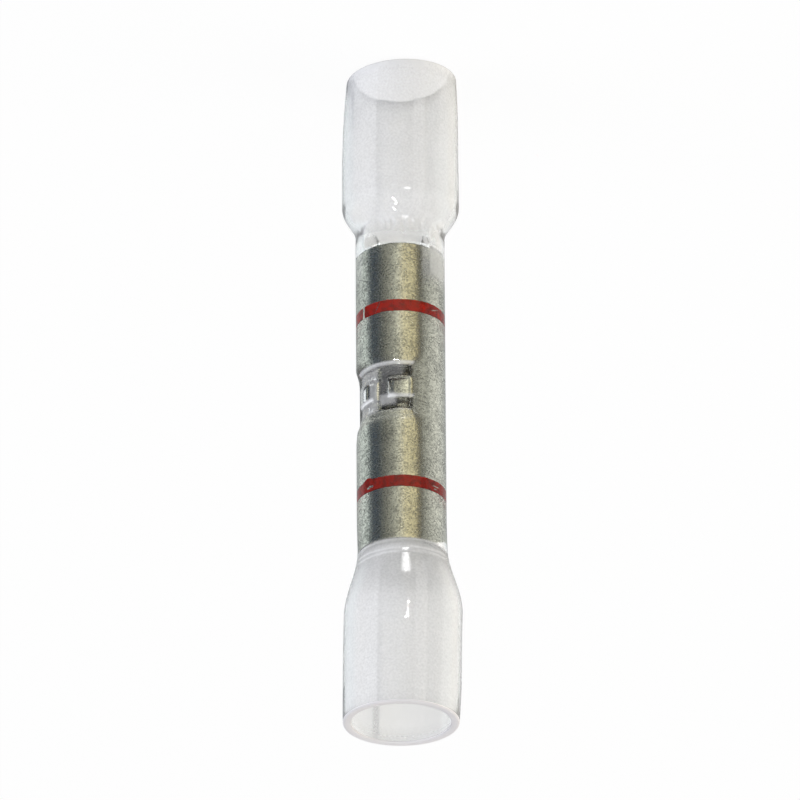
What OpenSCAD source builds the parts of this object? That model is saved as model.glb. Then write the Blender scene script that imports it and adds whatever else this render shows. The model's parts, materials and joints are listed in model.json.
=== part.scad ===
// Heat-shrink butt splice connector, standing on one cut end.
// A clear sleeve is shrunk on a tinned crimp barrel and left wide at both ends as bell mouths.
// Colour-code bands are printed round the barrel, and an H-shaped lance makes its wire stop.
// Millimetres. Z runs along the axis from the lower mouth, and the lance faces -Y.

/* [Sleeve] */
// Length over both cut ends
overall_length = 36; // [32:0.5:48]
// Outside diameter of the bell mouths
bell_od = 6; // [5.4:0.1:7.5]
// Wall of the sleeve
sleeve_wall = 0.5; // [0.35:0.05:0.8]
// Straight length of the lower bell, from its rim
lower_bell_length = 7; // [4:0.1:9]
// Length over which the lower bell narrows to the waist
lower_shoulder_length = 2.15; // [1.5:0.05:5]
// Straight length of the upper bell, from its rim
upper_bell_length = 5.9; // [4:0.1:9]
// Length over which the upper bell narrows to the waist
upper_shoulder_length = 3.65; // [1.5:0.05:5]
// How far the outside draws in at each cut rim
rim_draw = 0.06; // [0.02:0.01:0.15]
// Length over which it draws in
rim_draw_length = 3; // [1:0.1:4]

/* [Barrel] */
// Length of the crimp barrel
barrel_length = 16.6; // [14:0.1:20]
// Outside diameter of the barrel
barrel_od = 3.5; // [3.2:0.05:4.2]
// Bore for the wire strands
barrel_id = 1.9; // [1.6:0.05:2.2]
// How far the barrel sits above mid-length
barrel_shift = 0.4; // [-1:0.1:1]
// Lead-in chamfer at each end of the bore
bore_lead_in = 0.15; // [0.05:0.05:0.3]
// Broken outer edge at each end of the barrel
edge_break = 0.08; // [0.02:0.02:0.2]
// How far the bore swells at the wire stop, which parts it into two crimp bores
stop_swell = 0.02; // [0.01:0.01:0.1]

/* [Wire stop] */
// Angle that the lance spans round the barrel
lance_span = 100; // [80:1:120]
// Width of the three strokes of the H
lance_slot = 0.73; // [0.5:0.01:0.9]
// Width of the tongues along the axis
tongue_width = 1.09; // [0.8:0.01:1.5]
// How far the tongues are pressed in about their creases, in degrees
tongue_bend = 15; // [5:1:18]
// Depth of the crease line below the surface
crease_depth = 0.1; // [0.05:0.01:0.3]
// How far the lance sits above the middle of the barrel
lance_shift = -0.2; // [-1:0.1:1]

/* [Colour bands] */
// Width of each printed band
band_width = 0.62; // [0.3:0.02:1.2]
// Thickness of the print, which the sleeve is shrunk on to
band_film = 0.03; // [0.02:0.01:0.08]
// Middle of the lower band, from the barrel's lower end
lower_band_inset = 3.55; // [2:0.05:5]
// Middle of the upper band, from the barrel's upper end
upper_band_inset = 3.25; // [2:0.05:5]

/* [Hidden] */
$fn = 96;
shoulder_steps = 12;
rim_steps = 4;
waist_r = barrel_od / 2 + band_film + sleeve_wall;
barrel_wall = (barrel_od - barrel_id) / 2;
barrel_bottom = overall_length / 2 + barrel_shift - barrel_length / 2;
barrel_top = barrel_bottom + barrel_length;
lance_z = barrel_bottom + barrel_length / 2 + lance_shift;
lance_height = tongue_width + 2 * lance_slot;
// Direction that the lance faces, and half of its axial stroke as an angle at the surface
lance_facing = -90;
stroke_half_angle = lance_slot / barrel_od * 180 / PI;
crease_angle = lance_facing + lance_span / 2;
crease = (barrel_od / 2 - crease_depth) * [cos(crease_angle), sin(crease_angle)];

function reversed(points) = [for (i = [len(points) - 1:-1:0]) points[i]];
// An end is drawn from its own rim, and this turns it over to the top of the sleeve
function at_top(points) = [for (p = points) [p[0], overall_length - p[1]]];

// Radius across the shoulder and its slope, with t from 0 at the bell to 1 at the waist
function shoulder_r(t) = waist_r + (bell_od / 2 - waist_r) * (1 + cos(180 * t)) / 2;
function shoulder_slope(t, length) = (waist_r - bell_od / 2) * PI / 2 * sin(180 * t) / length;

// Outside of one end: the rim draws in on a parabola, then the bell narrows on an S-curve
function end_outside(bell, shoulder) = concat(
    [for (i = [0:rim_steps]) let (t = i / rim_steps)
        [bell_od / 2 - rim_draw * pow(1 - t, 2), rim_draw_length * t]],
    [for (i = [0:shoulder_steps]) let (t = i / shoulder_steps)
        [shoulder_r(t), bell + shoulder * t]]);

// Inside of one end: a straight bell bore, then the S-curve set in by the wall along its normal
function end_inside(bell, shoulder) = concat(
    [[bell_od / 2 - sleeve_wall, 0]],
    [for (i = [0:shoulder_steps])
        let (t = i / shoulder_steps, slope = shoulder_slope(t, shoulder))
        [shoulder_r(t), bell + shoulder * t] + sleeve_wall * [-1, slope] / sqrt(1 + slope * slope)]);

module heat_shrink_sleeve() {
    color([0.93, 0.94, 0.95, 0.35])
    rotate_extrude()
    polygon(concat(
        end_outside(lower_bell_length, lower_shoulder_length),
        reversed(at_top(end_outside(upper_bell_length, upper_shoulder_length))),
        at_top(end_inside(upper_bell_length, upper_shoulder_length)),
        reversed(end_inside(lower_bell_length, lower_shoulder_length))));
}

// Drawn tube with a chamfered bore that swells at the wire stop, and broken outer edges
module barrel_tube() {
    rotate_extrude()
    polygon([
        [barrel_id / 2, barrel_bottom + bore_lead_in],
        [barrel_id / 2 + bore_lead_in, barrel_bottom],
        [barrel_od / 2 - edge_break, barrel_bottom],
        [barrel_od / 2, barrel_bottom + edge_break],
        [barrel_od / 2, barrel_top - edge_break],
        [barrel_od / 2 - edge_break, barrel_top],
        [barrel_id / 2 + bore_lead_in, barrel_top],
        [barrel_id / 2, barrel_top - bore_lead_in],
        [barrel_id / 2, lance_z + lance_height / 2],
        [barrel_id / 2 + stop_swell, lance_z],
        [barrel_id / 2, lance_z - lance_height / 2]]);
}

// Opening that the whole H takes out of one side of the tube
module lance_window() {
    translate([0, 0, lance_z - lance_height / 2])
    rotate([0, 0, lance_facing - lance_span / 2])
    rotate_extrude(angle = lance_span)
    translate([barrel_id / 4, 0])
    square([barrel_od / 2, lance_height]);
}

// One tongue of the tube's own wall, pressed in about the crease at its root
module tongue() {
    translate([crease[0], crease[1], lance_z - tongue_width / 2])
    rotate([0, 0, -tongue_bend])
    translate([-crease[0], -crease[1], 0])
    rotate([0, 0, lance_facing + stroke_half_angle])
    rotate_extrude(angle = lance_span / 2 - stroke_half_angle)
    translate([barrel_id / 2, 0])
    square([barrel_wall, tongue_width]);
}

module crimp_barrel() {
    color("silver")
    union() {
        difference() {
            barrel_tube();
            lance_window();
        }
        tongue();
        mirror([1, 0, 0]) tongue();
    }
}

module colour_band(middle) {
    color("firebrick")
    translate([0, 0, middle - band_width / 2])
    rotate_extrude()
    translate([barrel_od / 2, 0])
    square([band_film, band_width]);
}

module lower_colour_band() {
    colour_band(barrel_bottom + lower_band_inset);
}

module upper_colour_band() {
    colour_band(barrel_top - upper_band_inset);
}

heat_shrink_sleeve();
crimp_barrel();
lower_colour_band();
upper_colour_band();
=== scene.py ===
import json
import math

import bmesh
import bpy
import numpy as np
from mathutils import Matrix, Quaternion, Vector, noise


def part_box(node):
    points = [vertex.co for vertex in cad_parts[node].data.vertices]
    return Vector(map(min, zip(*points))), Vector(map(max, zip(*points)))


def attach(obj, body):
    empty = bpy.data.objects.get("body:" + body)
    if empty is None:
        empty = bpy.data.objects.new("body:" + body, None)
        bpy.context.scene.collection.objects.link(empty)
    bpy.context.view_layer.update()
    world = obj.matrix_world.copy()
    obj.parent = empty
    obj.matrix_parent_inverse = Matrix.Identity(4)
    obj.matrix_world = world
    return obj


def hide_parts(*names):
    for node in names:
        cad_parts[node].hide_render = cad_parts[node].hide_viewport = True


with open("model.json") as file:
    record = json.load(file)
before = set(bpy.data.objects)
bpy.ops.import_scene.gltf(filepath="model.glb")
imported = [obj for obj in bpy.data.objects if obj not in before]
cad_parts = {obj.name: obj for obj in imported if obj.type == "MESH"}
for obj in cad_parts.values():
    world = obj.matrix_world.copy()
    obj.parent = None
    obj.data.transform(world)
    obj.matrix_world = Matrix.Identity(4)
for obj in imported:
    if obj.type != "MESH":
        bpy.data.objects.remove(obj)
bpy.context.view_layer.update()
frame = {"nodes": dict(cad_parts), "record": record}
scene = bpy.context.scene
scene.view_settings.view_transform = "Standard"
mm = 0.001
print("frame:", ", ".join(sorted(frame["nodes"])))


def linear(hexColour):
    # sRGB hex to the linear colour that a socket takes
    channels = [int(hexColour[i:i + 2], 16) / 255 for i in (1, 3, 5)]
    return [c / 12.92 if c <= 0.04045 else ((c + 0.055) / 1.055) ** 2.4 for c in channels] + [1.0]


def addNode(tree, kind, settings={}, links={}):
    # One node: settings are its own properties or its inputs, links go from another node into an input
    node = tree.nodes.new(kind)
    for name, value in settings.items():
        if isinstance(name, str) and hasattr(node, name):
            setattr(node, name, value)
        else:
            node.inputs[name].default_value = value
    for name, source in links.items():
        socket = source.outputs[0] if isinstance(source, bpy.types.Node) else source
        tree.links.new(socket, node.inputs[name])
    return node


def addNoise(tree, place, size, detail):
    # Noise whose waves are about that many millimetres long
    settings = {"Scale": 1 / (size * mm), "Detail": detail}
    return addNode(tree, "ShaderNodeTexNoise", settings, {"Vector": place})


def addRange(tree, source, span, result):
    # Maps a value from one (low, high) span to another
    settings = {"From Min": span[0], "From Max": span[1], "To Min": result[0], "To Max": result[1]}
    return addNode(tree, "ShaderNodeMapRange", settings, {"Value": source})


def newMaterial(name):
    material = bpy.data.materials.new(name)
    material.use_nodes = True
    material.node_tree.nodes.clear()
    return material, material.node_tree


def setRamp(node, stops):
    # Stops of a colour ramp, from (position, colour) pairs in rising order
    elements = node.color_ramp.elements
    while len(elements) < len(stops):
        elements.new(0.5)
    for element, (position, colour) in zip(elements, stops):
        element.position = position
        element.color = colour


# Real sizes in millimetres, read from the frame where it has them
mounts = {mount["name"]: mount for mount in frame["record"]["mounts"]}
bandNodes = ("lower_colour_band", "upper_colour_band")
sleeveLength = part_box("heat_shrink_sleeve")[1].z / mm
barrelEnds = [corner.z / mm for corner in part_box("crimp_barrel")]
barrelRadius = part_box("crimp_barrel")[1].x / mm
bandEnds = {node: [corner.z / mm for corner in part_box(node)] for node in bandNodes}
crimpBore = mounts["lower_crimp_bore"]["dims"]["r_mm"]
bellLengths = [mounts[name]["dims"]["length_mm"] for name in ("lower_bell_mouth", "upper_bell_mouth")]
boreLeadIn = 0.15  # chamfer at each end of the barrel's bore
lanceEnds = [barrelEnds[0] + mounts["lower_crimp_bore"]["dims"]["length_mm"] + boreLeadIn,
             barrelEnds[1] - mounts["upper_crimp_bore"]["dims"]["length_mm"] - boreLeadIn]
lanceFacing = -90  # degrees about Z


# Camera: looks down on the standing connector, rolled over so that the upper mouth is lowest in the picture
view = dict(azimuth=-31.5, elevation=24.5, roll=179.68, distance=600, lens=530, aim=(0.05, 0.0, 18.09),
            clip=(10, 10000))


def makeCamera():
    turn, lift = math.radians(view["azimuth"]), math.radians(view["elevation"])
    back = Vector((math.sin(turn) * math.cos(lift), -math.cos(turn) * math.cos(lift), math.sin(lift)))
    camera = bpy.data.objects.new("camera", bpy.data.cameras.new("camera"))
    camera.data.lens = view["lens"]
    camera.data.clip_start, camera.data.clip_end = (limit * mm for limit in view["clip"])
    camera.location = (Vector(view["aim"]) + back * view["distance"]) * mm
    camera.rotation_mode = "QUATERNION"
    roll = Quaternion(back, math.radians(view["roll"]))
    camera.rotation_quaternion = roll @ (-back).to_track_quat("-Z", "Y")
    scene.collection.objects.link(camera)
    scene.camera = camera


makeCamera()
print("camera: looks down", view["elevation"], "degrees")


# Geometry Nodes lathe for the turned pieces: each profile point becomes one row of a grid, turned about Z
latheWeld = 0.001  # points closer than this become one, which closes the seam


def makeLathe():
    tree = bpy.data.node_groups.new("lathe", "GeometryNodeTree")
    tree.interface.new_socket("Profile", in_out="INPUT", socket_type="NodeSocketGeometry")
    tree.interface.new_socket("Segments", in_out="INPUT", socket_type="NodeSocketInt")
    tree.interface.new_socket("Material", in_out="INPUT", socket_type="NodeSocketMaterial")
    tree.interface.new_socket("Turned", in_out="OUTPUT", socket_type="NodeSocketGeometry")
    given = addNode(tree, "NodeGroupInput")
    profile, segments = given.outputs["Profile"], given.outputs["Segments"]
    points = addNode(tree, "GeometryNodeAttributeDomainSize", {"component": "MESH"}, {"Geometry": profile})
    columns = addNode(tree, "ShaderNodeMath", {"operation": "ADD", 1: 1.0}, {0: segments})
    grid = addNode(tree, "GeometryNodeMeshGrid", {}, {"Vertices X": columns, "Vertices Y": points})
    index = addNode(tree, "GeometryNodeInputIndex")
    row = addNode(tree, "ShaderNodeMath", {"operation": "MODULO"}, {0: index, 1: points})
    share = addNode(tree, "ShaderNodeMath", {"operation": "DIVIDE"}, {0: index, 1: points})
    column = addNode(tree, "ShaderNodeMath", {"operation": "FLOOR"}, {0: share})
    turns = addNode(tree, "ShaderNodeMath", {"operation": "DIVIDE"}, {0: column, 1: segments})
    angle = addNode(tree, "ShaderNodeMath", {"operation": "MULTIPLY", 1: math.tau}, {0: turns})
    position = addNode(tree, "GeometryNodeInputPosition")
    point = addNode(tree, "GeometryNodeSampleIndex", {"data_type": "FLOAT_VECTOR"},
                    {"Geometry": profile, "Value": position, "Index": row})
    turned = addNode(tree, "ShaderNodeVectorRotate", {"rotation_type": "Z_AXIS"},
                     {"Vector": point, "Angle": angle})
    placed = addNode(tree, "GeometryNodeSetPosition", {}, {"Geometry": grid, "Position": turned})
    closed = addNode(tree, "GeometryNodeMergeByDistance", {"Distance": latheWeld * mm}, {"Geometry": placed})
    smooth = addNode(tree, "GeometryNodeSetShadeSmooth", {}, {"Geometry": closed})
    whole = addNode(tree, "GeometryNodeRealizeInstances", {}, {"Geometry": smooth})
    coated = addNode(tree, "GeometryNodeSetMaterial", {},
                     {"Geometry": whole, "Material": given.outputs["Material"]})
    addNode(tree, "NodeGroupOutput", {}, {"Turned": coated})
    return tree


lathe = makeLathe()


def plainMesh(piece):
    # The evaluated piece becomes its own plain mesh, and its modifiers go
    finished = bpy.data.meshes.new_from_object(piece.evaluated_get(bpy.context.evaluated_depsgraph_get()))
    piece.modifiers.clear()
    piece.data = finished
    finished.name = piece.name


def turnPiece(name, profile, segments, material):
    # A closed profile of (radius, z) points in millimetres, turned about Z
    mesh = bpy.data.meshes.new(name)
    mesh.from_pydata([(r * mm, 0, z * mm) for r, z in [*profile, profile[0]]], [], [])
    piece = bpy.data.objects.new(name, mesh)
    modifier = piece.modifiers.new("lathe", "NODES")
    modifier.node_group = lathe
    values = {"Segments": segments, "Material": material}
    for socket in lathe.interface.items_tree:
        if socket.in_out == "INPUT" and socket.name in values:
            modifier[socket.identifier] = values[socket.name]
    scene.collection.objects.link(piece)
    plainMesh(piece)
    piece.data.materials.clear()  # the profile's empty slot goes, so that slot 0 is the turned material
    piece.data.materials.append(material)
    piece.data.polygons.foreach_set("material_index", [0] * len(piece.data.polygons))
    return piece


def editMesh(piece, change):
    # Runs change(bmesh), then turns all faces outwards
    work = bmesh.new()
    work.from_mesh(piece.data)
    change(work)
    bmesh.ops.recalc_face_normals(work, faces=work.faces)
    work.to_mesh(piece.data)
    work.free()


def readPoints(piece):
    # Angle in degrees, radius and height of each vertex, in millimetres
    flat = np.empty(len(piece.data.vertices) * 3)
    piece.data.vertices.foreach_get("co", flat)
    x, y, z = (flat.reshape(-1, 3) / mm).T
    return np.degrees(np.arctan2(y, x)), np.hypot(x, y), z


def writePoints(piece, angle, radius, z):
    turn = np.radians(angle)
    points = np.column_stack([radius * np.cos(turn), radius * np.sin(turn), z]) * mm
    piece.data.vertices.foreach_set("co", points.ravel())
    piece.data.update()


def turnFrom(angle, middle):
    # Degrees from one bearing to another, from -180 to 180
    return (angle - middle + 180) % 360 - 180


def arc(degrees, radius):
    # Length along a circle
    return degrees * math.pi / 180 * radius


def bump(distance, width):
    # Smooth hill of height 1 that falls off over about one width
    return np.exp(-(distance / width) ** 2)


def plateau(value, low, high, soft):
    # 1 between low and high, with soft shoulders
    rise = np.clip((value - low) / soft + 0.5, 0, 1)
    fall = np.clip((high - value) / soft + 0.5, 0, 1)
    rise, fall = (s * s * (3 - 2 * s) for s in (rise, fall))
    return rise * fall


def wander(angle, z, size, seed):
    # Slow noise over the surface, about -1 to 1, with waves about size millimetres long
    turn = np.radians(angle)
    places = np.column_stack([barrelRadius * np.cos(turn), barrelRadius * np.sin(turn), z]) / size
    return np.array([noise.noise(Vector(place) + Vector((seed, 0, 0))) for place in places])


# Clear polyolefin, extruded and shrunk on: glossy, milky where it stands free of the barrel, clear where
# it wets the metal, with soft draw lines. The sleeve's own haze and frost attributes give milkiness and
# roughness, and a fine mottle keeps the milkiness from looking flat.
clearPlastic = dict(colour="#F2F2F1", ior=1.5, drawLine=0.35, drawLength=9.0, drawDepth=0.004,
                    ripple=0.9, rippleDepth=0.012,
                    mottle=0.12, mottleSpan=(0.3, 0.7), mottleShare=(0.88, 1.12))


def makeClearPlastic():
    material, tree = newMaterial("clearPolyolefin")
    place = addNode(tree, "ShaderNodeTexCoord").outputs["Object"]
    drawScale = [1 / (clearPlastic["drawLine"] * mm)] * 2 + [1 / (clearPlastic["drawLength"] * mm)]
    along = addNode(tree, "ShaderNodeMapping", {"Scale": drawScale}, {"Vector": place})
    lines = addNode(tree, "ShaderNodeTexNoise", {"Scale": 1.0, "Detail": 2.0}, {"Vector": along})
    ripples = addNoise(tree, place, clearPlastic["ripple"], 1.0)
    drawn = addNode(tree, "ShaderNodeBump", {"Strength": 1.0, "Distance": clearPlastic["drawDepth"] * mm},
                    {"Height": lines})
    rippled = addNode(tree, "ShaderNodeBump", {"Strength": 1.0, "Distance": clearPlastic["rippleDepth"] * mm},
                      {"Height": ripples, "Normal": drawn})
    haze = addNode(tree, "ShaderNodeAttribute", {"attribute_name": "haze"})
    mottle = addNoise(tree, place, clearPlastic["mottle"], 2.0)
    uneven = addRange(tree, mottle, clearPlastic["mottleSpan"], clearPlastic["mottleShare"])
    clouded = addNode(tree, "ShaderNodeMath", {"operation": "MULTIPLY"}, {0: haze.outputs["Fac"], 1: uneven})
    clear = addNode(tree, "ShaderNodeMath", {"operation": "SUBTRACT", 0: 1.0, "use_clamp": True},
                    {1: clouded})
    frost = addNode(tree, "ShaderNodeAttribute", {"attribute_name": "frost"})
    surface = addNode(tree, "ShaderNodeBsdfPrincipled",
                      {"Base Color": linear(clearPlastic["colour"]), "IOR": clearPlastic["ior"]},
                      {"Normal": rippled, "Transmission Weight": clear, "Roughness": frost.outputs["Fac"]})
    addNode(tree, "ShaderNodeOutputMaterial", {}, {"Surface": surface})
    return material


# The same plastic where a blade cut it across: frosted, so the rims read as soft grey rings
cutPlastic = dict(colour="#F0EDED", ior=1.5, roughness=0.45, clear=0.2,
                  bladeMark=0.06, bladeLength=2.5, bladeDepth=0.01, bladeStrength=0.6)


def makeCutPlastic():
    material, tree = newMaterial("cutPolyolefin")
    place = addNode(tree, "ShaderNodeTexCoord").outputs["Object"]
    bladeScale = [1 / (cutPlastic["bladeMark"] * mm)] + [1 / (cutPlastic["bladeLength"] * mm)] * 2
    across = addNode(tree, "ShaderNodeMapping", {"Scale": bladeScale}, {"Vector": place})
    marks = addNode(tree, "ShaderNodeTexNoise", {"Scale": 1.0, "Detail": 2.0}, {"Vector": across})
    scored = addNode(tree, "ShaderNodeBump", {"Strength": cutPlastic["bladeStrength"],
                                              "Distance": cutPlastic["bladeDepth"] * mm}, {"Height": marks})
    surface = addNode(tree, "ShaderNodeBsdfPrincipled",
                      {"Base Color": linear(cutPlastic["colour"]), "Transmission Weight": cutPlastic["clear"],
                       "IOR": cutPlastic["ior"], "Roughness": cutPlastic["roughness"]},
                      {"Normal": scored})
    addNode(tree, "ShaderNodeOutputMaterial", {}, {"Surface": surface})
    return material


# Matt tin, electroplated on drawn copper: grey with a fine mottle, and grains that glint.
# Roughness is that of the (dark, light) grains.
tin = dict(light="#E4E6DB", dark="#868883", grain=0.07, grainShare=0.5, cloud=0.7, cloudShare=0.5,
           shadeSpan=(0.2, 0.8), roughSpan=(0.35, 0.65), roughness=(0.32, 0.18), pit=0.085, pitDepth=0.004)


def makeTin():
    material, tree = newMaterial("platedTin")
    place = addNode(tree, "ShaderNodeTexCoord").outputs["Object"]
    grains = addNode(tree, "ShaderNodeTexVoronoi", {"Scale": 1 / (tin["grain"] * mm)}, {"Vector": place})
    pits = addNoise(tree, place, tin["pit"], 1.0)
    clouds = addNoise(tree, place, tin["cloud"], 4.0)
    cloudPart = addNode(tree, "ShaderNodeMath", {"operation": "MULTIPLY", 1: tin["cloudShare"]}, {0: clouds})
    mottle = addNode(tree, "ShaderNodeMath", {"operation": "MULTIPLY_ADD", 1: tin["grainShare"]},
                     {0: grains.outputs["Color"], 2: cloudPart})
    shade = addNode(tree, "ShaderNodeValToRGB", {}, {"Fac": mottle})
    setRamp(shade, list(zip(tin["shadeSpan"], (linear(tin["dark"]), linear(tin["light"])))))
    rough = addRange(tree, mottle, tin["roughSpan"], tin["roughness"])
    pitted = addNode(tree, "ShaderNodeBump", {"Strength": 1.0, "Distance": tin["pitDepth"] * mm},
                     {"Height": pits})
    surface = addNode(tree, "ShaderNodeBsdfPrincipled", {"Metallic": 1.0},
                      {"Base Color": shade, "Roughness": rough, "Normal": pitted})
    addNode(tree, "ShaderNodeOutputMaterial", {}, {"Surface": surface})
    return material


# Red printing ink, a thin film on the tin: deep red to the eye with faint thin spots, and no shine of its
# own, because the clear plastic wets it. Little light gets under the plastic, so it is written brighter.
ink = dict(colour="#E2270F", thin="#AD2411", blot=0.25, thinSpan=(0.35, 0.55), roughness=0.6, shine=0.0)


def makeInk():
    material, tree = newMaterial("redPrintingInk")
    place = addNode(tree, "ShaderNodeTexCoord").outputs["Object"]
    blots = addNoise(tree, place, ink["blot"], 4.0)
    shade = addNode(tree, "ShaderNodeValToRGB", {}, {"Fac": blots})
    setRamp(shade, list(zip(ink["thinSpan"], (linear(ink["thin"]), linear(ink["colour"])))))
    surface = addNode(tree, "ShaderNodeBsdfPrincipled",
                      {"Roughness": ink["roughness"], "Specular IOR Level": ink["shine"]},
                      {"Base Color": shade})
    addNode(tree, "ShaderNodeOutputMaterial", {}, {"Surface": surface})
    return material


clearMaterial, cutMaterial = makeClearPlastic(), makeCutPlastic()
tinMaterial, inkMaterial = makeTin(), makeInk()
print("materials:", ", ".join(m.name for m in (clearMaterial, cutMaterial, tinMaterial, inkMaterial)))


# Sleeve: one wall, bells at both ends, shrunk waist. The lower shoulder starts a little past the bell.
sleeve = dict(bellRadius=3.0, waistRadius=2.28, wall=0.5, lateStart=0.3, shoulders=(1.75, 3.65),
              rimDraw=0.06, rimDrawLength=3.0, rimRound=0.1, rimPoints=5, contact=0.04, leave=0.6,
              segments=240, samples=1441)
# Slow waves of the wall, strongest in the bells
waver = dict(depth=0.025, size=5.0, seed=3.0, rise=1.5, least=0.2)
# Steps between the profile's rows, how far past the lance and the barrel's ends the finer ones go, and how
# far in from those ends
rows = dict(whole=0.5, least=0.03, outerShoulders=(0.07, 0.09), innerShoulders=(0.18, 0.2),
            lance=0.08, end=0.07, pastLance=0.6, pastEnd=1.0, fromEnd=0.2)


def bellShare(z):
    # 1 in a bell, 0 in the waist, on the S-curve of the shoulder between
    low = np.clip((z - bellLengths[0] - sleeve["lateStart"]) / sleeve["shoulders"][0], 0, 1)
    high = np.clip((sleeveLength - z - bellLengths[1]) / sleeve["shoulders"][1], 0, 1)
    return (1 + np.cos(math.pi * np.minimum(low, high))) / 2


def outerRadius(z):
    nearRim = np.clip(1 - np.minimum(z, sleeveLength - z) / sleeve["rimDrawLength"], 0, 1)
    bell = sleeve["bellRadius"] - sleeve["rimDraw"] * nearRim ** 2
    return sleeve["waistRadius"] + (bell - sleeve["waistRadius"]) * bellShare(z)


def innerRadius(z):
    # The wall is even across the slope, and the waist is sunk in the barrel so that plastic meets metal
    full = sleeve["waistRadius"] + (sleeve["bellRadius"] - sleeve["waistRadius"]) * bellShare(z)
    slope = np.gradient(full, z)
    free = full - sleeve["wall"] * np.sqrt(1 + slope ** 2)
    leave = sleeve["leave"]  # length over which the wall lets go of the barrel
    onBarrel = plateau(z, barrelEnds[0] - leave / 2, barrelEnds[1] + leave / 2, leave)
    return free + (barrelRadius - sleeve["contact"] - free) * onBarrel


def spread(spans):
    # Heights along the whole sleeve, with finer steps in the given spans
    rim = sleeve["rimRound"]
    heights = {*np.arange(rim, sleeveLength - rim / 2, rows["whole"]).round(4), sleeveLength - rim}
    for (low, high), step in spans:
        heights |= set(np.linspace(low, high, max(3, round((high - low) / step))).round(4))
    heights = np.array(sorted(heights))
    return heights[np.append(True, np.diff(heights) > rows["least"])]


def sleeveProfile():
    lowStart, highStart = bellLengths[0] + sleeve["lateStart"], sleeveLength - bellLengths[1]
    lowLength, highLength = sleeve["shoulders"]
    shoulders = [(lowStart, lowStart + lowLength), (highStart - highLength, highStart)]
    lanceSpan = (lanceEnds[0] - rows["pastLance"], lanceEnds[1] + rows["pastLance"])
    endSpans = [(barrelEnds[0] - rows["pastEnd"], barrelEnds[0] + rows["fromEnd"]),
                (barrelEnds[1] - rows["fromEnd"], barrelEnds[1] + rows["pastEnd"])]
    outerHeights = spread([*zip(shoulders, rows["outerShoulders"]), (lanceSpan, rows["lance"])])
    innerHeights = spread([*zip(shoulders, rows["innerShoulders"]), (lanceSpan, rows["lance"]),
                           *[(span, rows["end"]) for span in endSpans]])
    outside = list(zip(outerRadius(outerHeights), outerHeights))
    inside = list(zip(np.interp(innerHeights, *wallLine), innerHeights))[::-1]
    rim = sleeve["rimRound"]
    quarter = [(math.cos(a), math.sin(a)) for a in np.linspace(0, math.pi / 2, sleeve["rimPoints"])[1:]]
    top = [(outside[-1][0] - rim + rim * c, sleeveLength - rim + rim * s) for c, s in quarter]
    top += [(inside[0][0] + rim - rim * c, sleeveLength - rim + rim * s) for c, s in quarter[-2::-1]]
    bottom = [(inside[-1][0] + rim - rim * c, rim - rim * s) for c, s in quarter]
    bottom += [(outside[0][0] - rim + rim * c, rim - rim * s) for c, s in quarter[-2::-1]]
    return outside + top + inside + bottom


# The lance in the barrel, and how the sleeve sank on it, with sides in degrees from the lance's middle
lance = dict(span=100, slot=0.73, bend=15, crease=0.1, root=5, tolerance=0.01)
sag = dict(depth=0.19, sides=(-56, 75), sideSoft=20, below=0.1, above=0.45, inset=0.8,
           strokeDepth=0.1, strokeSoft=0.35, innerStroke=0.3, innerSoft=0.25)
# Small folds that shrinking left on the lower shoulder, each a line that leans by so many radians
folds = [dict(angle=-98, z=9.1, lean=-0.46, length=0.3, width=0.09, depth=0.05),
         dict(angle=-105, z=9.1, lean=-0.5, length=0.3, width=0.08, depth=0.06),
         dict(angle=-113, z=9.15, lean=-0.5, length=0.3, width=0.09, depth=0.07),
         dict(angle=-127, z=9.35, lean=0.1, length=0.4, width=0.09, depth=0.06),
         dict(angle=-139, z=9.2, lean=-0.5, length=0.3, width=0.1, depth=0.06),
         dict(angle=-152, z=9.1, lean=0.4, length=0.3, width=0.1, depth=0.04),
         dict(angle=-165, z=9.5, lean=0.25, length=0.45, width=0.1, depth=0.07),
         dict(angle=-70, z=9.0, lean=0.9, length=0.4, width=0.12, depth=0.05),
         dict(angle=20, z=8.9, lean=0.5, length=0.5, width=0.14, depth=0.06),
         dict(angle=95, z=9.0, lean=-0.4, length=0.5, width=0.14, depth=0.06)]
ripples = dict(angle=-115, z=8.3, spread=9, reach=0.5, pitch=0.42, depth=0.01)  # fine rings of wrinkles
crease = dict(angle=-115, z=8.3, swing=3.2, pitch=0.42, width=0.09, reach=0.6, depth=0.03)  # zigzag wrinkle
rings = dict(z=27.4, pitch=0.36, reach=0.5, depth=0.007)  # where the sleeve steps off the barrel's upper end
# Pale wrinkles round the neck past the barrel's upper end, each a slightly tilted ring
neckWrinkles = [dict(z=26.9, tilt=0.08, turn=-60, width=0.07, haze=0.4),
                dict(z=27.25, tilt=0.1, turn=-160, width=0.06, haze=0.3),
                dict(z=27.6, tilt=0.12, turn=-90, width=0.06, haze=0.25)]
farTaper = dict(length=7.0, depth=0.13)  # the lower bell closes a little towards its rim
slant = dict(angle=-31.5, height=3.0, rise=0.2)  # the lower cut is a little out of square
# Sideways lean of the axis towards the picture's right, as (height, shift)
sway = [(0, 0.13), (1.5, 0.1), (4.5, 0.04), (7.2, 0.05), (9.5, 0.0), (25, 0.01), (27.5, 0.07), (29, 0.08),
        (31, 0.02), (34, -0.02), (36, -0.08)]
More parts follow.
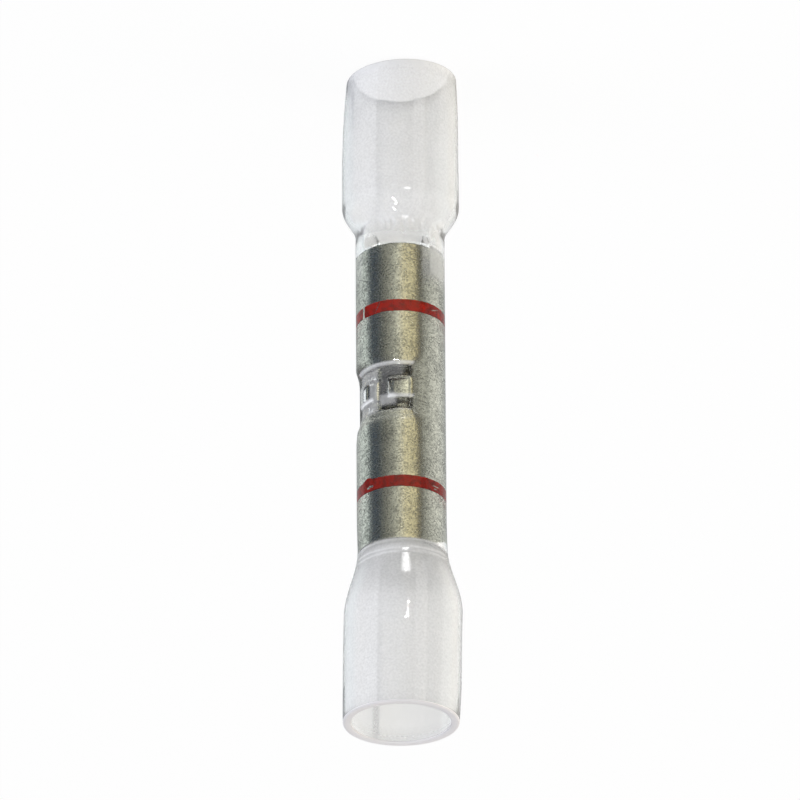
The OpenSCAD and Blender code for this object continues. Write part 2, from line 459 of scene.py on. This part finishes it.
# Patches where the plastic wets the metal poorly and reads pale. Gap is how much less its inside is sunk.
liftSoft = dict(turn=8, height=0.3)
lifts = [dict(angle=-64, z=18.3, wide=22, tall=2.5, gap=0.0, haze=0.3),
         dict(angle=-108, z=17.3, wide=18, tall=0.6, gap=0.0, haze=0.13),
         dict(angle=-101, z=18.88, wide=13, tall=0.6, gap=0.0, haze=0.36),
         dict(angle=-95, z=18.0, wide=8, tall=1.0, gap=0.0, haze=0.1),
         dict(angle=-186, z=11.0, wide=24, tall=1.9, gap=0.02, haze=0.36),
         dict(angle=-182, z=11.05, wide=31, tall=2.1, gap=0.0, haze=0.2),
         dict(angle=-44, z=11.0, wide=20, tall=2.0, gap=0.0, haze=0.1),
         dict(angle=40, z=11.3, wide=25, tall=1.8, gap=0.02, haze=0.3),
         dict(angle=120, z=10.9, wide=22, tall=1.5, gap=0.02, haze=0.3)]
# Milkier streaks along the bells, laid where bright and dark bands run down them: painted reflections
paintedBands = [dict(angle=-72, half=25, soft=3, haze=0.14), dict(angle=-140, half=6, soft=3, haze=0.15),
           dict(angle=-178, half=14, soft=6, haze=0.06), dict(angle=130, half=10, soft=8, haze=0.05),
           dict(angle=30, half=4, soft=3, haze=0.19)]
touch = dict(angle=-65, z=18.2, wide=7, tall=0.8, sink=0.3)  # the sleeve reaches down to the tongue here
touchSoft = dict(turn=4, height=0.2)
# The contact ends unevenly along both ends of the barrel
ragged = dict(size=1.1, squash=0.2, seed=31.0, gain=3, start=-0.02, reach=0.3, soft=0.1, gap=0.02)


# Share of each surface that scatters light: in the waist, outside and inside the bells, inside past the
# barrel's two ends, along the folds and the edges that the lance presses into the sleeve, outside at the
# lower rim, at its cut, and inside the upper lip. The pale lines along the lance's edges are painted
# highlights.
# Outside, the side facing the camera is milky, as painted shade that greys the bells, and the other side is
# clearer: outerBell is (clear side, camera side), and facing is the camera side's bearing.
milk = dict(waist=0.015, outerBell=(0.08, 0.6), facing=-121.5, reach=(1.2, 0.5),
            innerBell=0.06, innerSoft=0.3, necks=(0.12, 0.75), neckReach=(1.0, 1.4),
            fold=0.3, edge=0.6, edgeShift=0.06, edgeSoft=0.1,
            rim=0.28, rimReach=1.8, cut=0.6, cutReach=0.12, lip=0.4, lipReach=0.45,
            cloud=0.15, cloudSize=1.5, cloudSeed=7.0)
# Roughness: glossy, a little softer round one height of the upper shoulder, frosted inside the upper neck
polish = dict(gloss=0.03, softer=0.12, softerHeight=28.2, softerReach=1.0,
              frost=0.35, frostReach=1.6, frostStart=-0.05)


def lanceStrokes(aside, z, soft):
    # 1 over the three strokes of the H, 0 elsewhere
    along, half = arc(aside, barrelRadius), arc(lance["span"] / 2, barrelRadius)
    wide = plateau(along, -half, half, soft)
    lower = plateau(z, lanceEnds[0], lanceEnds[0] + lance["slot"], soft)
    upper = plateau(z, lanceEnds[1] - lance["slot"], lanceEnds[1], soft)
    middle = plateau(along, -lance["slot"] / 2, lance["slot"] / 2, soft)
    return np.maximum(wide * np.maximum(lower, upper), middle * plateau(z, *lanceEnds, soft))


def inPatch(angle, z, patch, soft):
    # 1 in a patch of the surface, with soft edges
    wide = plateau(turnFrom(angle, patch["angle"]), -patch["wide"], patch["wide"], soft["turn"])
    return wide * plateau(z, patch["z"] - patch["tall"] / 2, patch["z"] + patch["tall"] / 2, soft["height"])


def onFold(angle, z, fold):
    # 1 along the line of a fold, falling off to its sides and ends
    across = arc(turnFrom(angle, fold["angle"]), outerRadius(np.array([fold["z"], sleeveLength]))[0])
    up = z - fold["z"]
    line = across * math.cos(fold["lean"]) - up * math.sin(fold["lean"])
    run = across * math.sin(fold["lean"]) + up * math.cos(fold["lean"])
    return bump(line, fold["width"]) * bump(run, fold["length"])


def waves(z, wrinkle):
    return np.sin(math.tau * (z - wrinkle["z"]) / wrinkle["pitch"])


def fading(z, wrinkle):
    return bump(z - wrinkle["z"], wrinkle["reach"])


def shrunkRadius(angle, radius, z, outside):
    # The turned radius, changed by what shrinking did to the sleeve
    inBells = np.clip(bellShare(z) * waver["rise"], waver["least"], 1)
    radius = radius + waver["depth"] * wander(angle, z, waver["size"], waver["seed"]) * inBells
    aside = turnFrom(angle, lanceFacing)
    sunk = plateau(aside, *sag["sides"], sag["sideSoft"]) * plateau(
        z, lanceEnds[0] - sag["below"], lanceEnds[1] + sag["above"], sag["inset"])
    outerSag = sag["depth"] * sunk + sag["strokeDepth"] * lanceStrokes(aside, z, sag["strokeSoft"])
    innerSag = sag["innerStroke"] * lanceStrokes(aside, z, sag["innerSoft"])
    radius = radius - np.where(outside, outerSag, innerSag)
    radius = radius - farTaper["depth"] * np.clip(1 - z / farTaper["length"], 0, 1) ** 2
    radius = radius + outside * rings["depth"] * waves(z, rings) * fading(z, rings)
    zigzag = crease["angle"] + crease["swing"] * waves(z, crease)
    across = arc(turnFrom(angle, zigzag), radius)
    radius = radius + outside * crease["depth"] * bump(across, crease["width"]) * fading(z, crease)
    for lift in lifts:
        radius = radius + np.where(outside, 0, lift["gap"] * inPatch(angle, z, lift, liftSoft))
    radius = radius - np.where(outside, 0, touch["sink"] * inPatch(angle, z, touch, touchSoft))
    nearEnd = np.minimum(z - barrelEnds[0], barrelEnds[1] - z)
    patchy = wander(angle, z * ragged["squash"], ragged["size"], ragged["seed"])
    loose = np.clip(patchy * ragged["gain"], 0, 1) * plateau(
        nearEnd, ragged["start"], ragged["reach"], ragged["soft"])
    radius = radius + np.where(outside, 0, ragged["gap"] * loose)
    around = bump(turnFrom(angle, ripples["angle"]), ripples["spread"])
    radius = radius + ripples["depth"] * waves(z, ripples) * around * fading(z, ripples)
    for fold in folds:
        radius = radius - fold["depth"] * outside * onFold(angle, z, fold)
    return radius


def clouded(z, outside, cameraSide):
    # Milkiness along the axis, by how far past the barrel's ends a point is
    haze = np.full_like(z, milk["waist"])
    outer = milk["outerBell"][0] + (milk["outerBell"][1] - milk["outerBell"][0]) * cameraSide
    for end, past in enumerate((barrelEnds[0] - z, z - barrelEnds[1])):
        neck = bump(np.maximum(past, 0), milk["neckReach"][end])
        inner = milk["innerBell"] + (milk["necks"][end] - milk["innerBell"]) * neck
        share = np.where(outside, np.clip(past / milk["reach"][end], 0, 1),
                         np.clip(past / milk["innerSoft"] + 0.5, 0, 1))
        haze += (np.where(outside, outer, inner) - milk["waist"]) * share
    return haze


def milkiness(angle, z, outside):
    # Painted shade: the side facing the camera is milkier, which greys the bells seen from there
    cameraSide = ((1 + np.cos(np.radians(angle - milk["facing"]))) / 2) ** 2
    cloudy = 1 + milk["cloud"] * wander(angle, z, milk["cloudSize"], milk["cloudSeed"])
    strained = outside * np.max([onFold(angle, z, fold) for fold in folds], axis=0)
    haze = clouded(z, outside, cameraSide) * cloudy + milk["fold"] * strained
    # Painted reflections: milkier streaks down the bells
    for paintedBand in paintedBands:
        inPaintedBand = plateau(turnFrom(angle, paintedBand["angle"]), -paintedBand["half"], paintedBand["half"], paintedBand["soft"])
        haze = haze + outside * paintedBand["haze"] * inPaintedBand * bellShare(z)
    unwetted = np.max([lift["haze"] * inPatch(angle, z, lift, liftSoft) for lift in lifts], axis=0)
    unwetted = unwetted * (1 - inPatch(angle, z, touch, touchSoft))
    # Painted highlights: pale lines of haze along the edges that the lance presses into the sleeve
    above, below = (lanceStrokes(turnFrom(angle, lanceFacing), z + shift, milk["edgeSoft"])
                    for shift in (milk["edgeShift"], -milk["edgeShift"]))
    haze = np.clip(haze + outside * (unwetted + milk["edge"] * np.clip(above - below, 0, 1)), 0, 1)
    haze = haze + outside * milk["rim"] * bump(z, milk["rimReach"]) + milk["cut"] * bump(z, milk["cutReach"])
    haze = haze + np.where(outside, 0, milk["lip"] * bump(sleeveLength - z, milk["lipReach"]))
    for wrinkle in neckWrinkles:
        tilted = z - wrinkle["z"] - wrinkle["tilt"] * np.sin(np.radians(angle - wrinkle["turn"]))
        haze = haze + outside * wrinkle["haze"] * bump(tilted, wrinkle["width"])
    return haze


def roughness(z, outside):
    past = z - barrelEnds[1]
    inNeck = bump(np.maximum(past, 0), polish["frostReach"]) * (past > polish["frostStart"])
    softer = polish["softer"] * bump(z - polish["softerHeight"], polish["softerReach"])
    return polish["gloss"] + np.where(outside, softer, (polish["frost"] - polish["gloss"]) * inNeck)


def shapeSleeve(piece):
    angle, radius, z = readPoints(piece)
    outside = radius > (outerRadius(z) + np.interp(z, *wallLine)) / 2
    leftward = (1 + np.cos(np.radians(angle - slant["angle"]))) / 2
    cut = z + slant["rise"] * leftward * np.clip(1 - z / slant["height"], 0, 1)
    writePoints(piece, angle, shrunkRadius(angle, radius, z, outside), cut)
    for name, values in (("haze", milkiness(angle, z, outside)), ("frost", roughness(z, outside))):
        piece.data.attributes.new(name, "FLOAT", "POINT").data.foreach_set("value", values)
    shift = np.interp(z, *zip(*sway)) * mm
    rightward = math.radians(slant["angle"] + 180)
    for vertex, step in zip(piece.data.vertices, shift):
        vertex.co.x += step * math.cos(rightward)
        vertex.co.y += step * math.sin(rightward)


def frostRims(piece):
    # The upper cut face takes the frosted material, and the lower one keeps the sleeve's own
    piece.data.materials.append(cutMaterial)
    for face in piece.data.polygons:
        if sleeveLength * mm - face.center.z < sleeve["rimRound"] * mm:
            face.material_index = 1


fine = np.linspace(0, sleeveLength, sleeve["samples"])
wallLine = (fine, innerRadius(fine))
sleevePiece = turnPiece("clear_sleeve", sleeveProfile(), sleeve["segments"], clearMaterial)
shapeSleeve(sleevePiece)
editMesh(sleevePiece, lambda work: None)
frostRims(sleevePiece)
print("sleeve:", len(sleevePiece.data.polygons), "faces")


# Barrel: drawn tube with an H cut through one side, and its two tongues pressed in
barrel = dict(segments=180, rows=60, rowClear=0.06, edge=0.08, bevel=0.03, bevelSteps=2, bevelAngle=35)


def barrelProfile():
    low, high = barrelEnds
    slots = [lanceEnds[0], lanceEnds[0] + lance["slot"], lanceEnds[1] - lance["slot"], lanceEnds[1]]
    heights = {*np.linspace(low + boreLeadIn, high - boreLeadIn, barrel["rows"]).round(3)}
    heights = [h for h in heights if min(abs(h - s) for s in slots) > barrel["rowClear"]]
    heights = sorted(heights + slots)
    outside = [(barrelRadius - barrel["edge"], low), (barrelRadius, low + barrel["edge"])]
    outside += [(barrelRadius, h) for h in heights]
    outside += [(barrelRadius, high - barrel["edge"]), (barrelRadius - barrel["edge"], high)]
    inside = [(crimpBore + boreLeadIn, high)] + [(crimpBore, h) for h in heights[::-1]]
    return outside + inside + [(crimpBore + boreLeadIn, low)]


def cutLance(work):
    # Takes the faces of the H's strokes out of both walls and closes the cut between them
    half, step = lance["span"] / 2, 360 / barrel["segments"]
    middle = round(math.degrees(lance["slot"] / 2 / barrelRadius) / step) * step
    gone = []
    for face in work.faces:
        centre = face.calc_center_median() / mm
        aside = turnFrom(math.degrees(math.atan2(centre.y, centre.x)), lanceFacing)
        inHeight = lanceEnds[0] < centre.z < lanceEnds[1]
        inTongue = lanceEnds[0] + lance["slot"] < centre.z < lanceEnds[1] - lance["slot"]
        if inHeight and abs(aside) < half and (abs(aside) < middle or not inTongue):
            gone.append(face)
    bmesh.ops.delete(work, geom=gone, context="FACES")
    rims = [edge for edge in work.edges if edge.is_boundary]
    bmesh.ops.bridge_loops(work, edges=rims)


def pressTongues(piece):
    # Each tongue turns in about the crease at its root
    angle, radius, z = readPoints(piece)
    aside = turnFrom(angle, lanceFacing)
    half = lance["span"] / 2
    aboveLower = z > lanceEnds[0] + lance["slot"] - lance["tolerance"]
    belowUpper = z < lanceEnds[1] - lance["slot"] + lance["tolerance"]
    share = np.clip((half - abs(aside)) / lance["root"], 0, 1) * (aboveLower & belowUpper)
    side = np.sign(aside)
    root = np.radians(lanceFacing + side * half)
    pivot = (barrelRadius - lance["crease"]) * np.column_stack([np.cos(root), np.sin(root)])
    turn = np.radians(-side * lance["bend"] * share)
    place = radius[:, None] * np.column_stack([np.cos(np.radians(angle)), np.sin(np.radians(angle))]) - pivot
    x = place[:, 0] * np.cos(turn) - place[:, 1] * np.sin(turn) + pivot[:, 0]
    y = place[:, 0] * np.sin(turn) + place[:, 1] * np.cos(turn) + pivot[:, 1]
    writePoints(piece, np.degrees(np.arctan2(y, x)), np.hypot(x, y), z)


def breakEdges(piece):
    # Small rounds on the sharp edges, and flat faces kept flat beside them
    modifier = piece.modifiers.new("edges", "BEVEL")
    modifier.width, modifier.segments = barrel["bevel"] * mm, barrel["bevelSteps"]
    modifier.limit_method, modifier.angle_limit = "ANGLE", math.radians(barrel["bevelAngle"])
    modifier.harden_normals = True
    plainMesh(piece)


barrelPiece = turnPiece("tinned_barrel", barrelProfile(), barrel["segments"], tinMaterial)
editMesh(barrelPiece, cutLance)
pressTongues(barrelPiece)
breakEdges(barrelPiece)
print("barrel:", len(barrelPiece.data.polygons), "faces")


# Colour bands: a film of ink round the barrel, with edges that wander a little. Its inside, and the floor of
# its scratches, are sunk in the barrel.
band = dict(film=0.03, sunk=0.02, scratchSunk=0.015, rows=12, segments=240,
            waver=0.018, waverSize=0.7, fringe=0.012, fringeSize=0.16)
# Scratches that bare the tin, from one (angle, share of the band's width) to another
scratches = dict(lower_colour_band=[dict(start=(-55.8, -0.1), end=(-55.8, 1.1), width=0.07),
                                    dict(start=(-89.4, 0.05), end=(-80.3, 0.95), width=0.025),
                                    dict(start=(-190, 0.2), end=(-176, 0.5), width=0.02)],
                 upper_colour_band=[dict(start=(-63.6, 0.72), end=(-74.4, 0.6), width=0.06),
                                    dict(start=(-164, 0.55), end=(-188, 0.5), width=0.018),
                                    dict(start=(-170, 0.8), end=(-184, 0.75), width=0.015)])
blots = dict(lower_colour_band=dict(angle=130, wide=8, rise=0.05),
             upper_colour_band=dict(angle=-64, wide=9, rise=0.16))  # the lower edge bulges here


def makeBand(node, name, seed):
    low, high = bandEnds[node]
    top = barrelRadius + band["film"]
    heights = np.linspace(low, high, band["rows"] + 1)
    under = barrelRadius - band["sunk"]
    outline = [(under, low), *[(top, h) for h in heights], (under, high)]
    piece = turnPiece(name, outline, band["segments"], inkMaterial)
    angle, radius, z = readPoints(piece)
    share = (z - low) / (high - low)
    for scratch in scratches[node]:
        start, end = (np.array([arc(turn, barrelRadius), part * (high - low)])
                      for turn, part in (scratch["start"], scratch["end"]))
        apart = turnFrom(angle, scratch["start"][0])
        place = np.column_stack([arc(apart, barrelRadius) + start[0], share * (high - low)])
        along = np.clip((place - start) @ (end - start) / ((end - start) @ (end - start)), 0, 1)
        away = np.linalg.norm(place - start - along[:, None] * (end - start), axis=1)
        radius = np.where(away < scratch["width"], barrelRadius - band["scratchSunk"], radius)
    blot = blots[node]
    bulge = bump(turnFrom(angle, blot["angle"]), blot["wide"]) * blot["rise"]
    z = z + band["waver"] * wander(angle, z, band["waverSize"], seed) - bulge * (1 - np.clip(share, 0, 1))
    z = z + band["fringe"] * wander(angle, z, band["fringeSize"], seed)
    writePoints(piece, angle, radius, z)
    editMesh(piece, lambda work: None)
    return piece


bandPieces = [makeBand(node, name, seed) for node, name, seed in
              zip(bandNodes, ("lower_red_band", "upper_red_band"), (11.0, 23.0))]
print("bands:", [len(piece.data.polygons) for piece in bandPieces], "faces")

for piece, slot, nodes in [(sleevePiece, "clear_sleeve", ["heat_shrink_sleeve"]),
                           (barrelPiece, "tinned_copper", ["crimp_barrel"]),
                           (bandPieces[0], "red_ink", [bandNodes[0]]),
                           (bandPieces[1], "red_ink", [bandNodes[1]])]:
    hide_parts(*nodes)
    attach(piece, "root")


# Studio: pale floor, soft light, and reflector cards round the base that only reflections show
# Cards are (degrees from the camera towards the picture's right, colour, strength)
studio = dict(floorSize=3.0, floorColour="#EDEDED", whiteShare=0.95, worldColour="#F4F6FA",
              worldStrength=0.42, cardLevel=0.5, cardRise=0.38)
cards = [(-180, "#EEF2F4", 1.05), (-114, "#EAF2F4", 1.1), (-104, "#7688A0", 0.27), (-72, "#7688A0", 0.27),
         (-60, "#C0C6C4", 0.24), (-45, "#DAD8CC", 0.32), (-25, "#EAE8DC", 0.5), (-10, "#FAF8E8", 0.75),
         (0, "#FFF8E4", 0.95), (8, "#FFF2CC", 0.92), (48, "#FFEFC2", 0.8), (52, "#A89C88", 0.18),
         (63, "#B8B0A0", 0.2), (68, "#F4F2E8", 0.42), (85, "#F6F5EC", 0.6), (100, "#F8F6F0", 0.85),
         (130, "#F8F6F0", 1.05), (150, "#F6F6F4", 1.05), (180, "#EEF2F4", 1.05)]


def whiteRays(tree, path):
    # The camera sees white, also through clear plastic, but what has been scattered sees the real light
    direct = addNode(tree, "ShaderNodeMath", {"operation": "LESS_THAN", 1: 0.5},
                     {0: path.outputs["Diffuse Depth"]})
    through = addNode(tree, "ShaderNodeMath", {"operation": "MULTIPLY"},
                      {0: path.outputs["Is Transmission Ray"], 1: direct})
    return addNode(tree, "ShaderNodeMath", {"operation": "MAXIMUM"},
                   {0: path.outputs["Is Camera Ray"], 1: through})


def makeFloorMaterial():
    material, tree = newMaterial("paleFloor")
    path = addNode(tree, "ShaderNodeLightPath")
    place = addNode(tree, "ShaderNodeTexCoord").outputs["Object"]
    # Straight back from the camera is where the ramp wraps round
    around = addNode(tree, "ShaderNodeMapping",
                     {"vector_type": "POINT", "Rotation": (0, 0, math.radians(90 - view["azimuth"]))},
                     {"Vector": place})
    angle = addNode(tree, "ShaderNodeTexGradient", {"gradient_type": "RADIAL"}, {"Vector": around})
    card = addNode(tree, "ShaderNodeValToRGB", {}, {"Fac": angle.outputs["Fac"]})
    setRamp(card, sorted([(0.5 - turn / 360, [c * strength for c in linear(colour)[:3]] + [1.0])
                          for turn, colour, strength in cards], key=lambda stop: stop[0]))
    matt = addNode(tree, "ShaderNodeBsdfDiffuse", {"Color": linear(studio["floorColour"])})
    white = addNode(tree, "ShaderNodeEmission", {"Color": (1, 1, 1, 1), "Strength": 1.0})
    seen = whiteRays(tree, path)
    share = addNode(tree, "ShaderNodeMath", {"operation": "MULTIPLY", 1: studio["whiteShare"]}, {0: seen})
    pale = addNode(tree, "ShaderNodeMixShader", {}, {0: share, 1: matt, 2: white})
    reflected = addNode(tree, "ShaderNodeMath", {"operation": "GREATER_THAN", 1: 0.5},
                        {0: path.outputs["Glossy Depth"]})
    # Reflections deep inside the clear bells are thin, so their cards are brighter than those of the metal
    level = addNode(tree, "ShaderNodeMath",
                    {"operation": "MULTIPLY_ADD", 1: studio["cardRise"], 2: studio["cardLevel"]},
                    {0: path.outputs["Transmission Depth"]})
    lit = addNode(tree, "ShaderNodeEmission", {}, {"Color": card, "Strength": level})
    surface = addNode(tree, "ShaderNodeMixShader", {}, {0: reflected, 1: pale, 2: lit})
    addNode(tree, "ShaderNodeOutputMaterial", {}, {"Surface": surface})
    material.cycles.emission_sampling = "NONE"
    return material


def makeFloor():
    half = studio["floorSize"] / 2
    mesh = bpy.data.meshes.new("floor")
    corners = [(-half, -half, 0), (half, -half, 0), (half, half, 0), (-half, half, 0)]
    mesh.from_pydata(corners, [], [(0, 1, 2, 3)])
    mesh.materials.append(makeFloorMaterial())
    floor = bpy.data.objects.new("floor", mesh)
    scene.collection.objects.link(floor)


def makeWorld():
    world = bpy.data.worlds.new("studio")
    scene.world = world
    world.use_nodes = True
    tree = world.node_tree
    tree.nodes.clear()
    path = addNode(tree, "ShaderNodeLightPath")
    soft = addNode(tree, "ShaderNodeBackground",
                   {"Color": linear(studio["worldColour"]), "Strength": studio["worldStrength"]})
    white = addNode(tree, "ShaderNodeBackground", {"Color": (1, 1, 1, 1), "Strength": 1.0})
    seen = whiteRays(tree, path)
    mixed = addNode(tree, "ShaderNodeMixShader", {}, {0: seen, 1: soft, 2: white})
    addNode(tree, "ShaderNodeOutputWorld", {}, {"Surface": mixed})


# Softboxes: degrees from the camera towards the picture's right, degrees above the floor, distance and size
softboxes = [dict(name="coolBox", turn=-75, lift=24, distance=500, size=450, colour="#F1F4FF", watts=1.75),
             dict(name="warmBox", turn=105, lift=22, distance=500, size=450, colour="#FFF8EC", watts=2.1),
             dict(name="fillBox", turn=42, lift=35, distance=500, size=400, colour="#FFFDF8", watts=0.4),
             dict(name="topBox", turn=0, lift=62, distance=600, size=400, colour="#FFFFFF", watts=0.35)]
# Small gridded lamps for the glints: bearing as for the softboxes, distance from the axis, height, and the
# height that each is aimed at
lamps = [dict(name="shoulderLamp", turn=8, reach=15, height=8.5, aim=29,
              size=(6, 4), spread=20, watts=1.8e-5),
         dict(name="upperDropLamp", turn=8, reach=28, height=20.3, aim=31.6,
              size=(3.4, 0.2), spread=16, watts=2e-6),
         dict(name="lowerDropLamp", turn=8, reach=28, height=18.5, aim=30.0,
              size=(3.4, 0.1), spread=16, watts=1e-6),
         dict(name="neckLamp", turn=12.5, reach=28, height=9.5, aim=7.6,
              size=(6, 10), spread=20, watts=3e-5),
         dict(name="creaseLamp", turn=-13, reach=28, height=29.5, aim=8.2,
              size=(7, 13.5), spread=15, watts=2.3e-4),
         dict(name="foldLamp", turn=-13, reach=25, height=0.5, aim=9.3,
              size=(6, 4), spread=6, watts=4e-6)]


def direction(turn):
    # Level direction that many degrees from the camera's side, towards the picture's right
    bearing = math.radians(view["azimuth"] - 90 - turn)
    return Vector((math.cos(bearing), math.sin(bearing), 0))


def addArea(name, place, target, size, colour, watts):
    light = bpy.data.lights.new(name, "AREA")
    light.shape = "RECTANGLE"
    light.size, light.size_y = size[0] * mm, size[1] * mm
    light.color = linear(colour)[:3]
    light.energy = watts
    lamp = bpy.data.objects.new(name, light)
    lamp.location = place * mm
    lamp.rotation_mode = "QUATERNION"
    lamp.rotation_quaternion = (Vector(target) * mm - lamp.location).to_track_quat("-Z", "Y")
    lamp.visible_camera = False
    scene.collection.objects.link(lamp)
    return lamp


def makeLights():
    middle = Vector((0, 0, sleeveLength / 2))
    for box in softboxes:
        lift = math.radians(box["lift"])
        out = direction(box["turn"]) * math.cos(lift) + Vector((0, 0, math.sin(lift)))
        place = middle + out * box["distance"]
        soft = addArea(box["name"], place, middle, (box["size"], box["size"]), box["colour"], box["watts"])
        soft.visible_glossy = soft.visible_transmission = False  # the cards are what reflections show
    for lamp in lamps:
        place = direction(lamp["turn"]) * lamp["reach"] + Vector((0, 0, lamp["height"]))
        target = Vector((0, 0, lamp["aim"]))
        small = addArea(lamp["name"], place, target, lamp["size"], "#FFFFFF", lamp["watts"])
        small.data.spread = math.radians(lamp["spread"])
        small.visible_diffuse = small.visible_transmission = False  # for mirrored glints alone


makeFloor()
makeWorld()
makeLights()
print("studio:", len(cards), "cards,", len(softboxes), "softboxes,", len(lamps), "lamps")
